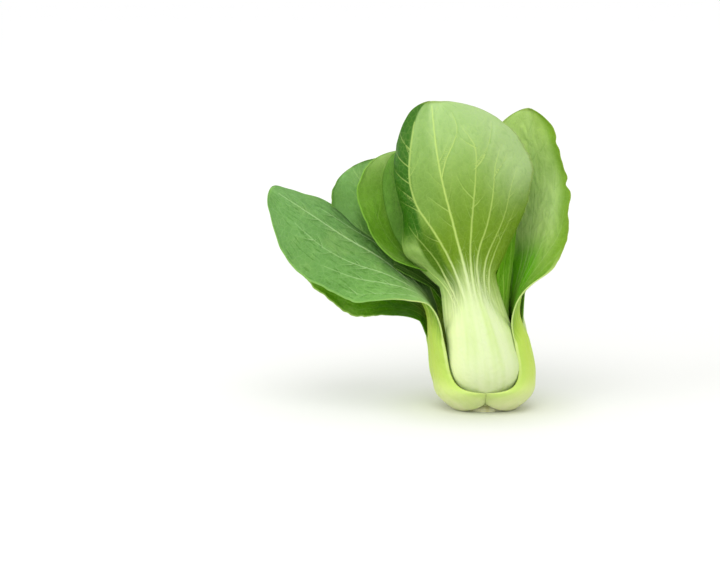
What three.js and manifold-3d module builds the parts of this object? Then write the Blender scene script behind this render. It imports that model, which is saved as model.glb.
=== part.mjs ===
// A small head of green-stemmed bok choy that stands on its cut base.
//
// Each leaf is one solid: a thick pale stalk that clasps the stem, a narrow neck, and a broad round blade
// with a raised midrib and side veins on its underside. The leaves nest round a short stem butt.
//
// Millimetres, +Z up. The origin is the centre of the cut base, and -Y is the side the front leaf faces.
import * as THREE from "three";
import Module from "manifold-3d";

const wasm = await Module();
wasm.setup();

// Where the stations of every midrib lie along the leaf: the stalk runs from 0 to 1, the blade from 1 to 2.
const STATIONS = [0, 0.14, 0.36, 0.7, 1, 1.33, 1.67, 2];
const STALK_STATIONS = STATIONS.slice(0, 5);

const GAP = 0.35; // air left between two leaves that press together
const LEAST_GAP = 0.015; // the same at the corners of a foot, where the grown shape is the less exact
const SMALLEST_FACET = 0.02; // facets smaller than this along a pressed edge are joined
const STALK_MARGIN = 0.9; // thickness of the stalk's thin edges
const BLADE_THICKNESS = 0.8;
const MIDRIB_THICKNESS = [2.4, 1.4, 1]; // at the blade's three stations
const STALK_ROUNDNESS = 0.85; // power of the stalk's profile across: lower is fuller
const MIDRIB_ROUNDNESS = 1.3;
const WIDEST_AT = 0.52; // share of the blade's length where most blades are widest
const SHOULDER = 2.2;
const TIP_ROUND = 2;
const FOLD_ROWS = [1.2, 1.5]; // where along the leaf a folded margin starts to bend, and is fully bent
const FOOT_RISE = 8; // how far the corners of the widest stalk's foot stand above its middle
const WIDEST_FOOT = 23;
const FOOT_END = 0.35; // where along the leaf the slanting foot ends
const FOOT_MARGIN = 1; // how much further down a grown leaf's foot reaches, for each millimetre it is grown
const NECK_TWIST = 0.3; // share of the first blade station's twist that the neck has
const RIB_HALF_WIDTHS = [9, 4.2, 2.4, 1.6]; // of the midrib, from the neck to the tip
const SIDE_VEINS = [0.3, 0.64]; // places of the main side veins across each half of the blade
const VEIN_SHARE = 0.06;
const VEIN_HEIGHT = 0.5;
const RIPPLE_POWER = 2.5; // how closely the ripples keep to the blade's edge
const RIPPLE_LAG = 1.7; // how far the ripples of the two edges are out of step, in radians
const LOW_ROWS = 1.15; // power that crowds the rows towards the base
const TIP_ANGLE = THREE.MathUtils.degToRad(84); // the last row of the round tip, just short of its pole

const OUTER_MESH = {
  rows: [9, 5, 7],
  columns: [-1, -0.8, -0.64, -0.44, -0.3, -0.2, -0.09, 0, 0.09, 0.2, 0.3, 0.44, 0.64, 0.8, 1],
};
const MIDDLE_MESH = { rows: [8, 5, 7], columns: [-1, -0.8, -0.55, -0.3, -0.12, 0, 0.12, 0.3, 0.55, 0.8, 1] };
const INNER_MESH = { rows: [6, 4, 6], columns: [-1, -0.75, -0.45, -0.15, 0, 0.15, 0.45, 0.75, 1] };
const HEART_MESH = { rows: [5, 3, 5], columns: [-1, -0.6, -0.2, 0, 0.2, 0.6, 1] };

const STALK_GREEN = new THREE.MeshStandardMaterial({ color: 0xb9d27a, roughness: 0.45, metalness: 0 });
const LEAF_GREEN = new THREE.MeshStandardMaterial({ color: 0x86ae4c, roughness: 0.5, metalness: 0 });
const HEART_GREEN = new THREE.MeshStandardMaterial({ color: 0xa4c663, roughness: 0.5, metalness: 0 });

// The leaves, outermost first.
// azimuth: the side of the head the leaf grows on, in degrees from +X.
// midrib: [outward from the head's axis, sideways, up] of the leaf's outer face at each station.
// width: half-widths of the stalk at its base, foot, bulge, waist and neck.
// thickness: of the stalk's middle at those places. hug: radius of the stalk's inner face there.
// blade: greatest half-width on each side of the midrib.
// cup: radius of the blade across each side at its last three stations, negative where it droops.
// twist: turn of the blade about its midrib at those stations, in degrees.
// wave: height, number and phase of the ripples along the blade's edge.
// shoulder, widest: power of each side's outline below its widest place (higher is broader), and the share of
// the blade's length where that place is. blunt: power of the round tip (higher is squarer).
// neckEnd: share of the blade's length that stays as narrow as the neck.
// fold: share of the first side's half-width past which its margin bends back, and the radius of the bend.
const LEAVES = [
  {
    name: "leaf_under", azimuth: 140, mesh: OUTER_MESH, material: LEAF_GREEN,
    midrib: [
      [17.5, 0, 0], [25, 0, 4.5], [31, 0, 17], [32, 4, 36], [34, 10, 51],
      [50, 22, 68], [66, 40, 82], [82, 55, 97],
    ],
    width: [16, 20, 20, 16, 13], thickness: [4.4, 6, 8, 7, 4], hug: [13, 22, 40, 40, 40],
    blade: [28, 29], cup: [[-300, -300], [-60, -70], [-50, -60]], twist: [-20, -30, -30], wave: [1.6, 3, 0.4],
    widest: [0.52, 0.45],
  },
  {
    name: "leaf_right", azimuth: -3, mesh: OUTER_MESH, material: LEAF_GREEN,
    midrib: [
      [17.5, 0, 0], [25.6, 0, 7], [28, 0, 18], [24.5, 0, 38], [18.7, 2, 55],
      [25, 12, 86], [27, 18, 122], [23, 20, 163],
    ],
    width: [23, 31, 17, 15, 13], thickness: [4.4, 6.4, 8, 7, 4], hug: [13, 20.5, 55, 80, 60],
    blade: [24, 34], cup: [[-200, 50], [-60, 50], [-50, 40]], twist: [40, 46, 42], wave: [1.4, 4, 2.2],
    shoulder: [3.6, 2.2], widest: [0.41, 0.52], blunt: 2.6,
  },
  {
    name: "leaf_left", azimuth: 183, mesh: OUTER_MESH, material: LEAF_GREEN,
    midrib: [
      [17.5, 0, 0], [25.6, 0, 7], [28.5, 0, 18], [31, 0, 38], [33.5, 0, 57],
      [51, 0, 76], [78, -2, 95], [117, -4, 121],
    ],
    width: [23, 31, 17, 15, 13], thickness: [4.4, 6.4, 8, 7, 4], hug: [13, 20.5, 55, 120, 60],
    blade: [25, 37], cup: [[-300, -300], [-40, -90], [-36, -70]], twist: [-26, -38, -34], wave: [1.6, 3, 1.2],
    blunt: 2.8,
  },
  {
    name: "leaf_back_right", azimuth: 40, mesh: MIDDLE_MESH, material: LEAF_GREEN,
    midrib: [
      [15, 0, 3], [20, 0, 7], [25.5, 0, 20], [26, 1, 40], [27, 4, 58],
      [36, 14, 82], [45, 22, 108], [50, 25, 132],
    ],
    width: [13, 17, 19, 17, 13], thickness: [4, 5, 8, 7, 4], hug: [11, 15, 22, 26, 28],
    blade: [34, 34], cup: [[80, 80], [70, 70], [-200, -200]], twist: [4, 8, 8], wave: [1.6, 3, 4],
  },
  {
    name: "leaf_front", azimuth: 270, mesh: OUTER_MESH, material: LEAF_GREEN,
    midrib: [
      [14.5, 0, 4], [19, 0, 8], [26, 0, 21], [24.5, -3, 43], [18.5, -9, 68],
      [21, -17, 99], [19, -26, 135], [5, -30, 169],
    ],
    width: [12, 17, 22, 20, 16], thickness: [4, 5, 9, 8, 4.6], hug: [11, 15, 20, 24, 26],
    blade: [34, 51], cup: [[60, 60], [60, 85], [60, 80]], twist: [0, -4, -6], wave: [1, 3, 0.6],
    shoulder: [2.2, 2], widest: [0.42, 0.6], neckEnd: 0.05, blunt: 2.3, fold: [0.46, 12],
  },
  {
    name: "leaf_back", azimuth: 95, mesh: MIDDLE_MESH, material: LEAF_GREEN,
    midrib: [
      [14, 0, 4], [18, 0, 8], [23, 0, 21], [23, 1, 42], [22, 3, 62],
      [32, 4, 90], [43, 6, 121], [42, 8, 150],
    ],
    width: [12, 16, 20, 18, 14], thickness: [4, 5, 8, 7, 4], hug: [11, 14, 18, 22, 26],
    blade: [36, 35], cup: [[70, 70], [60, 60], [50, 50]], twist: [0, 4, 8], wave: [1.5, 3, 5],
  },
  {
    name: "leaf_back_left", azimuth: 140, mesh: MIDDLE_MESH, material: LEAF_GREEN,
    midrib: [
      [11, 0, 8], [13, 0, 14], [14.5, 0, 26], [17, 3, 46], [26, 8, 67],
      [43, 17, 92], [59, 26, 114], [70, 30, 130],
    ],
    width: [8, 10, 11, 10.5, 10], thickness: [3, 4, 5.5, 5, 3.4], hug: [8, 10, 13, 18, 30],
    blade: [30, 25], cup: [[90, 90], [80, 80], [60, 60]], twist: [-30, -48, -48], wave: [1.4, 3, 2],
  },
  {
    name: "leaf_inner_left", azimuth: 195, mesh: INNER_MESH, material: LEAF_GREEN,
    midrib: [
      [11, 0, 8], [13, 0, 14], [14.5, -1, 26], [14, -6, 44], [15.6, -11, 62],
      [31, -22, 90], [37, -26, 118], [39, -29, 140],
    ],
    width: [7, 9, 9.5, 9, 8.5], thickness: [3, 4, 5.5, 5, 3.4], hug: [8, 10, 13, 18, 30],
    blade: [23, 34], cup: [[60, 60], [60, 80], [50, 70]], twist: [-66, -80, -84], wave: [1.2, 3, 3],
    widest: [0.52, 0.6],
  },
  {
    name: "leaf_inner_right", azimuth: 330, mesh: INNER_MESH, material: LEAF_GREEN,
    midrib: [
      [11, 0, 8], [13, 0, 14], [14.2, 0, 26], [13, 1, 44], [12, 4, 62],
      [12, 11, 88], [12, 16, 116], [10, 16, 140],
    ],
    width: [7, 10, 11, 10, 9], thickness: [3, 4, 5, 4.5, 3.4], hug: [8, 10, 13, 18, 30],
    blade: [23, 23], cup: [[40, 40], [36, 36], [30, 30]], twist: [20, 40, 40], wave: [1.2, 3, 1],
  },
  {
    name: "heart_front", azimuth: 262, mesh: HEART_MESH, material: HEART_GREEN,
    midrib: [
      [7.6, 0, 12], [8.2, 0, 16], [8.8, 0, 26], [8.6, 0, 42], [8, -1, 56],
      [10, -3, 74], [9, -5, 94], [2, -8, 110],
    ],
    width: [5, 7, 8, 7, 6], thickness: [2.2, 3, 3.6, 3, 2.2], hug: [6, 6, 7, 9, 12],
    blade: [16, 16], cup: [[18, 18], [18, 18], [16, 16]], twist: [0, 0, 0], wave: [0.8, 3, 0],
  },
  {
    name: "heart_back", azimuth: 80, mesh: HEART_MESH, material: HEART_GREEN,
    midrib: [
      [7.6, 0, 12], [8.2, 0, 16], [8.8, 0, 26], [8.6, 0, 42], [9, 1, 56],
      [12, 2, 74], [13, 3, 92], [7, 4, 106],
    ],
    width: [5, 7, 8, 7, 6], thickness: [2.2, 3, 3.6, 3, 2.2], hug: [6, 6, 7, 9, 12],
    blade: [15, 15], cup: [[20, 20], [18, 18], [14, 14]], twist: [0, 0, 0], wave: [0.8, 3, 2],
  },
  {
    name: "heart_tip", azimuth: 170, mesh: HEART_MESH, material: HEART_GREEN,
    midrib: [
      [3.2, 0, 15], [3.4, 0, 19], [3.6, 0, 28], [3.4, 0, 40], [3.2, 0, 50],
      [3.4, 0, 62], [3, 0, 74], [0, 0, 84],
    ],
    width: [2.4, 3, 3.4, 3.2, 3], thickness: [1.6, 1.9, 2.2, 2, 1.6], hug: [5, 5, 6, 7, 8],
    blade: [6.5, 6.5], cup: [[8, 8], [8, 8], [8, 8]], twist: [0, 0, 0], wave: [0.3, 3, 0],
  },
];

// A smooth curve through values at knots: cubic pieces whose slope at each knot is weighted from both sides.
function through(knots, values) {
  const last = knots.length - 1;
  const step = (i) => knots[i + 1] - knots[i];
  const chord = (i) => (values[i + 1] - values[i]) / step(i);
  const inner = (i) => (chord(i - 1) * step(i) + chord(i) * step(i - 1)) / (step(i - 1) + step(i));
  const slopes = knots.map((_, i) => {
    if (i === 0) return 1.5 * chord(0) - 0.5 * inner(1);
    if (i === last) return 1.5 * chord(last - 1) - 0.5 * inner(last - 1);
    return inner(i);
  });
  return (at) => {
    let i = 0;
    while (i < last - 1 && at > knots[i + 1]) i++;
    const h = step(i);
    const s = (at - knots[i]) / h;
    const a = 2 * s ** 3 - 3 * s ** 2 + 1;
    const b = s ** 3 - 2 * s ** 2 + s;
    const c = -2 * s ** 3 + 3 * s ** 2;
    const d = s ** 3 - s ** 2;
    return a * values[i] + b * h * slopes[i] + c * values[i + 1] + d * h * slopes[i + 1];
  };
}

const smooth = (from, to, x) => THREE.MathUtils.smoothstep(x, from, to);

// The leaf's surface: for a place along it (0 to 2) and across it (-1 to 1), a point of its inner face and
// one of its outer face. grow makes it larger by that much all round.
function leafSurface(leaf, grow = 0) {
  const { azimuth, midrib, width, thickness, hug, blade, cup, twist, wave, fold } = leaf;
  const { shoulder = [SHOULDER, SHOULDER], widest = [WIDEST_AT, WIDEST_AT] } = leaf;
  const { neckEnd = 0, blunt = TIP_ROUND } = leaf;
  const turn = THREE.MathUtils.degToRad(azimuth);
  const out = new THREE.Vector3(Math.cos(turn), Math.sin(turn), 0);
  const across = new THREE.Vector3(-Math.sin(turn), Math.cos(turn), 0);
  const curve = [0, 1, 2].map((k) => through(STATIONS, midrib.map((point) => point[k])));
  const point = (v) => {
    const height = new THREE.Vector3(0, 0, curve[2](v));
    return height.addScaledVector(out, curve[0](v)).addScaledVector(across, curve[1](v));
  };

  const stalkWidth = through(STALK_STATIONS, width);
  const halfWidth = (v, side) => {
    if (v <= 1) return stalkWidth(v);
    const share = v - 1;
    const past = (share - widest[side]) / (1 - widest[side]);
    if (past > 0) return blade[side] * Math.sqrt(Math.max(0, 1 - past ** blunt));
    const below = Math.min(1, 1 - (share - neckEnd) / (widest[side] - neckEnd));
    return blade[side] - (blade[side] - width[4]) * below ** shoulder[side];
  };
  // The arc across one side of a row: its turn, reach sideways and rise at a distance u from the midrib.
  const arc = (u, k) => ({ turned: k * u, reach: Math.sin(k * u) / k, rise: (1 - Math.cos(k * u)) / k });
  const folded = (u, k, w, v) => {
    if (!fold || v < FOLD_ROWS[0] || u > -fold[0] * w) return arc(u, k);
    const start = arc(-fold[0] * w, k);
    const tight = THREE.MathUtils.lerp(k, 1 / fold[1], smooth(...FOLD_ROWS, v));
    const turned = start.turned + tight * (u + fold[0] * w);
    return {
      turned,
      reach: start.reach + (Math.sin(turned) - Math.sin(start.turned)) / tight,
      rise: start.rise + (Math.cos(start.turned) - Math.cos(turned)) / tight,
    };
  };
  const middleThickness = through(STATIONS, [...thickness, ...MIDRIB_THICKNESS]);
  const curvature = [0, 1].map((side) =>
    through(STATIONS, [...hug, ...cup.map((radii) => radii[side])].map((radius) => 1 / radius)),
  );
  const bladeTwist = through(STATIONS, [0, 0, 0, 0, NECK_TWIST * twist[0], ...twist]);
  const edgeThickness = (v) => THREE.MathUtils.lerp(STALK_MARGIN, BLADE_THICKNESS, smooth(0.6, 1.1, v));
  const ribHalf = through(STATIONS.slice(4), RIB_HALF_WIDTHS);
  const ribShare = (v, w) => {
    if (v > 1) return Math.min(1, ribHalf(v) / w);
    return THREE.MathUtils.lerp(1, RIB_HALF_WIDTHS[0] / w, smooth(0.7, 1, v));
  };

  return (v, q) => {
    const tangent = point(v + 1e-3).sub(point(v - 1e-3)).normalize();
    const side = across.clone().addScaledVector(tangent, -across.dot(tangent)).normalize();
    const face = new THREE.Vector3().crossVectors(tangent, side);
    const roll = THREE.MathUtils.degToRad(bladeTwist(v));
    // The stalk's rows lie level, the blade's rows square to its midrib.
    const level = 1 - smooth(0.55, 1.1, v);
    const b = side.clone().multiplyScalar(Math.cos(roll)).addScaledVector(face, Math.sin(roll));
    const n = new THREE.Vector3().crossVectors(tangent, b);
    b.lerp(across, level).normalize();
    n.lerp(out.clone().negate(), level);
    n.addScaledVector(b, -n.dot(b)).normalize();

    const k = curvature[q < 0 ? 0 : 1](v);
    const w = halfWidth(v, q < 0 ? 0 : 1);
    const u = q * (w + grow);
    const { turned, reach, rise } = folded(u, k, w, v);
    const [height, count, phase] = wave;
    const turns = 2 * Math.PI * count * (v - 1) + phase + RIPPLE_LAG * Math.sign(q);
    const ripple = height * smooth(1, 1.3, v) * Math.abs(q) ** RIPPLE_POWER * Math.sin(turns);
    const middle = middleThickness(v);
    const edge = edgeThickness(v);
    const roundness = THREE.MathUtils.lerp(STALK_ROUNDNESS, MIDRIB_ROUNDNESS, smooth(0.7, 1, v));
    const rib = Math.max(0, 1 - (q / ribShare(v, w)) ** 2) ** roundness;
    const ridges = SIDE_VEINS.map((place) => Math.exp(-(((Math.abs(q) - place) / VEIN_SHARE) ** 2)));
    const veins = VEIN_HEIGHT * (ridges[0] + ridges[1]) * smooth(1, 1.2, v) * (1 - smooth(1.55, 1.95, v));
    const swell = edge + (middle - edge) * rib + veins;
    const outward = n.clone().multiplyScalar(-Math.cos(turned)).addScaledVector(b, Math.sin(turned));
    const foot = FOOT_RISE * (width[0] / WIDEST_FOOT) * (1 - smooth(0, FOOT_END, v)) * Math.abs(q) ** 3;
    const inner = point(v).addScaledVector(n, middle + rise + ripple).addScaledVector(b, reach);
    inner.z += foot;
    return {
      tangent,
      inner: inner.clone().addScaledVector(outward, -grow),
      outer: inner.clone().addScaledVector(outward, swell + grow),
    };
  };
}

// Places along the leaf: even on the stalk and lower blade, and by angle round the tip.
function rowPlaces([stalkRows, lowerRows, tipRows]) {
  const places = [];
  for (let i = 0; i < stalkRows; i++) places.push((i / stalkRows) ** LOW_ROWS);
  for (let i = 0; i < lowerRows; i++) places.push(1 + WIDEST_AT * (i / lowerRows) ** LOW_ROWS);
  for (let i = 0; i <= tipRows; i++) {
    places.push(1 + WIDEST_AT + (1 - WIDEST_AT) * Math.sin((TIP_ANGLE * i) / tipRows));
  }
  return places;
}

// A leaf as one closed solid: inner face, outer face with the same diagonals, and a rim round both.
function leafSolid(leaf, grow = 0) {
  const surface = leafSurface(leaf, grow);
  const rows = rowPlaces(leaf.mesh.rows);
  const { columns } = leaf.mesh;
  const lastRow = rows.length - 1;
  const lastColumn = columns.length - 1;
  const positions = [];
  rows.forEach((v, i) => {
    for (const q of columns) {
      const here = surface(v, q);
      const above = surface(rows[1], q);
      for (const face of ["inner", "outer"]) {
        const spot = here[face];
        // A grown foot reaches further down in line with each of its faces.
        if (i === 0) spot.addScaledVector(spot.clone().sub(above[face]).normalize(), FOOT_MARGIN * grow);
        if (i === lastRow) spot.addScaledVector(here.tangent, grow);
        positions.push(...spot.toArray());
      }
    }
  });
  const inner = (i, j) => 2 * (i * columns.length + j);
  const outer = (i, j) => inner(i, j) + 1;
  const faces = [];
  const quad = (a, b, c, d) => faces.push(a, b, c, a, c, d);
  for (let i = 0; i < lastRow; i++) {
    for (let j = 0; j < lastColumn; j++) {
      quad(inner(i, j), inner(i + 1, j), inner(i + 1, j + 1), inner(i, j + 1));
      quad(outer(i + 1, j + 1), outer(i + 1, j), outer(i, j), outer(i, j + 1));
    }
    quad(inner(i, 0), outer(i, 0), outer(i + 1, 0), inner(i + 1, 0));
    quad(inner(i, lastColumn), inner(i + 1, lastColumn), outer(i + 1, lastColumn), outer(i, lastColumn));
  }
  for (let j = 0; j < lastColumn; j++) {
    quad(inner(0, j), inner(0, j + 1), outer(0, j + 1), outer(0, j));
    quad(inner(lastRow, j), outer(lastRow, j), outer(lastRow, j + 1), inner(lastRow, j + 1));
  }
  return solid(positions, faces);
}

function solid(positions, faces) {
  const mesh = new wasm.Mesh({
    numProp: 3,
    vertProperties: Float32Array.from(positions),
    triVerts: Uint32Array.from(faces),
  });
  return new wasm.Manifold(mesh);
}

// The short stem that the leaves grow from, cut flat below: [radius, height], from the bottom up.
const BUTT_PROFILE = [[12.4, 0], [12, 1.6], [9.4, 4], [7, 8], [5, 12], [2.6, 15], [0.6, 16]];
const BUTT_SIDES = 28;

function buttSolid(grow = 0) {
  const positions = [];
  const faces = [];
  for (const [radius, height] of BUTT_PROFILE) {
    for (let side = 0; side < BUTT_SIDES; side++) {
      const angle = (2 * Math.PI * side) / BUTT_SIDES;
      positions.push((radius + grow) * Math.cos(angle), (radius + grow) * Math.sin(angle), height);
    }
  }
  const lastRing = BUTT_PROFILE.length - 1;
  const at = (ring, side) => ring * BUTT_SIDES + (side % BUTT_SIDES);
  for (let ring = 0; ring < lastRing; ring++) {
    for (let side = 0; side < BUTT_SIDES; side++) {
      faces.push(at(ring, side), at(ring, side + 1), at(ring + 1, side + 1));
      faces.push(at(ring, side), at(ring + 1, side + 1), at(ring + 1, side));
    }
  }
  for (let side = 1; side < BUTT_SIDES - 1; side++) {
    faces.push(at(0, 0), at(0, side + 1), at(0, side));
    faces.push(at(lastRing, 0), at(lastRing, side), at(lastRing, side + 1));
  }
  return solid(positions, faces);
}

function meshOf(name, body, material) {
  const { vertProperties, triVerts } = body.getMesh();
  const geometry = new THREE.BufferGeometry();
  geometry.setAttribute("position", new THREE.Float32BufferAttribute(vertProperties, 3));
  geometry.setIndex([...triVerts]);
  geometry.computeVertexNormals();
  const mesh = new THREE.Mesh(geometry, material);
  mesh.name = name;
  return mesh;
}

const largest = (body) => body.decompose().reduce((a, b) => (a.volume() > b.volume() ? a : b));

// Each leaf is pressed into shape by the butt and by the leaves outside it, so it stops just short of them.
// What a neighbour cuts off altogether is dropped.
const head = new THREE.Group();
head.add(meshOf("stem_butt", buttSolid(), STALK_GREEN));
const pressing = [buttSolid(GAP)];
for (const leaf of LEAVES) {
  let body = leafSolid(leaf);
  for (const neighbour of pressing) body = body.subtract(neighbour);
  head.add(meshOf(leaf.name, largest(body).simplify(SMALLEST_FACET), leaf.material));
  pressing.push(leafSolid(leaf, GAP), leafSolid(leaf, LEAST_GAP));
}

export default head;
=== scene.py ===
import math

import bmesh
import bpy
import numpy as np
from mathutils import Matrix, Vector
from mathutils.bvhtree import BVHTree
from mathutils.kdtree import KDTree


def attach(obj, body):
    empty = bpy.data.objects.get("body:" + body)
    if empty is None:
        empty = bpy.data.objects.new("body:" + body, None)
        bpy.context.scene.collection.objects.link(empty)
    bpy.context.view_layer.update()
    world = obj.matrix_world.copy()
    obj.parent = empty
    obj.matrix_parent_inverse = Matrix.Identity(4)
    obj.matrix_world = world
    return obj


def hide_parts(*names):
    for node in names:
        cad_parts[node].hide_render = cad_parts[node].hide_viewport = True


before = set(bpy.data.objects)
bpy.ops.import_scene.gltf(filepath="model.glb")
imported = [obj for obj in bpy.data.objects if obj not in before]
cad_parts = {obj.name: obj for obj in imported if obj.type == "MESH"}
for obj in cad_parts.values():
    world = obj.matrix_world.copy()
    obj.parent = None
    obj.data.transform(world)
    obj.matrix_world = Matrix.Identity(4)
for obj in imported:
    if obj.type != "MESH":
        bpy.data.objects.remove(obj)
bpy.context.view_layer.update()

MM = 0.001

# The same leaves as in the CAD source. The stalk runs from 0 to 1 along the leaf, the blade from 1 to 2.
STATIONS = [0, 0.14, 0.36, 0.7, 1, 1.33, 1.67, 2]
NECK = 4  # the station where the stalk becomes the blade
GAP = 0.35
STALK_MARGIN = 0.9
BLADE_THICKNESS = 0.8
MARGIN_ROWS = (0.6, 1.1)  # between these places the margin goes from the stalk's thickness to the blade's
MIDRIB_THICKNESS = [2.4, 1.4, 1]
STALK_ROUNDNESS = 0.85
MIDRIB_ROUNDNESS = 1.3
MIDRIB_ROWS = (0.7, 1)  # between these places the stalk's thick middle becomes the blade's midrib
RIB_HALF_WIDTHS = [9, 4.2, 2.4, 1.6]
WIDEST_AT = 0.52
SHOULDER = 2.2
NECK_TWIST = 0.3
LEVEL_ROWS = (0.55, 1.1)  # a stalk lies level across up to the first, a blade is turned in full from the second
RIPPLE_POWER = 2.5
RIPPLE_LAG = 1.7
RIPPLE_ROWS = (1, 1.3)
FOLD_ROWS = (1.2, 1.5)  # a folded margin starts to bend at the first and is at its tightest from the second
FOOT_RISE = 8  # how far the corners of the widest stalk's foot stand above its middle
WIDEST_FOOT = 23
FOOT_END = 0.35
CUT_POWER = 6  # the higher, the closer a nick keeps to the margin
FULL_BLADE = 30  # half-width from which a blade has veins and puckers of full size
ARC_STEPS = 201
TIP_ANGLE = math.radians(88)

# Mesh sizes: rows of the stalk, of the lower blade and of the tip, and columns.
FINE = (56, 52, 72, 151)
MIDDLE = (44, 40, 56, 111)
COARSE = (34, 30, 44, 81)
SMALL = (26, 20, 28, 45)
CUTTER = (24, 14, 20, 33)

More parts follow.
